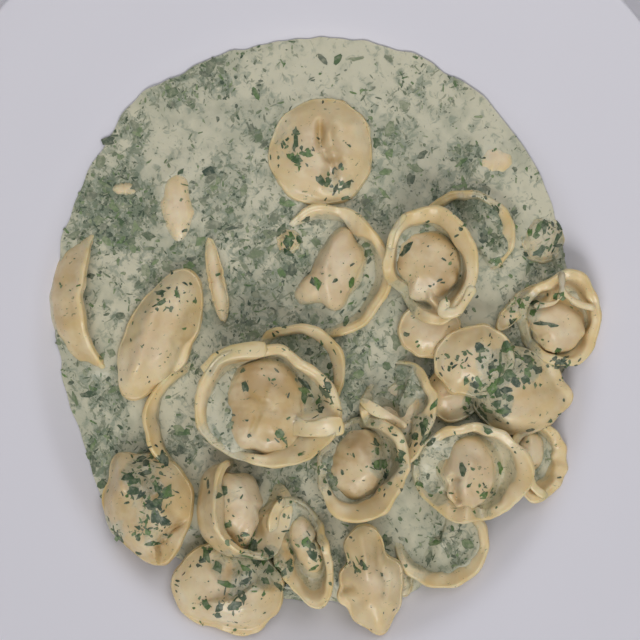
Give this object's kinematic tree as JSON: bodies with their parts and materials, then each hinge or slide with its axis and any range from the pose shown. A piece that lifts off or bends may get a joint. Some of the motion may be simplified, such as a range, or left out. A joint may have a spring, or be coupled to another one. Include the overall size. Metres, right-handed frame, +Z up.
{
  "type": "tortellini in spinach cream sauce on a pasta plate",
  "caption": "Filled ring-shaped pasta heaped in a spinach cream sauce in the well of a wide-rimmed white plate.",
  "frame": {"origin": "under the middle of the plate, in the plane its foot ring stands on", "axes": "+Z up, +Y along the plate's longer axis, towards the side where the sauce lies bare"},
  "size_m": [0.269, 0.302, 0.0436],
  "materials": {
    "glaze": "glossy white glaze",
    "sauce": "wet spinach cream",
    "pasta": "moist cooked egg dough"
  },
  "bodies": {
    "root": {"plate": "glaze", "tortellino_01": "pasta", "tortellino_02": "pasta", "tortellino_03": "pasta", "tortellino_04": "pasta", "tortellino_05": "pasta", "tortellino_06": "pasta", "tortellino_07": "pasta", "tortellino_08": "pasta", "tortellino_09": "pasta", "tortellino_10": "pasta", "tortellino_11": "pasta", "tortellino_12": "pasta", "tortellino_13": "pasta", "tortellino_14": "pasta", "tortellino_15": "pasta", "tortellino_16": "pasta", "tortellino_17": "pasta", "tortellino_18": "pasta", "tortellino_19": "pasta", "tortellino_20": "pasta", "tortellino_21": "pasta", "tortellino_22": "pasta", "tortellino_23": "pasta", "tortellino_24": "pasta", "tortellino_25": "pasta", "tortellino_26": "pasta", "tortellino_27": "pasta", "tortellino_28": "pasta", "tortellino_29": "pasta", "tortellino_30": "pasta", "tortellino_31": "pasta", "tortellino_32": "pasta", "sauce": "sauce"}
  },
  "joints": []
}
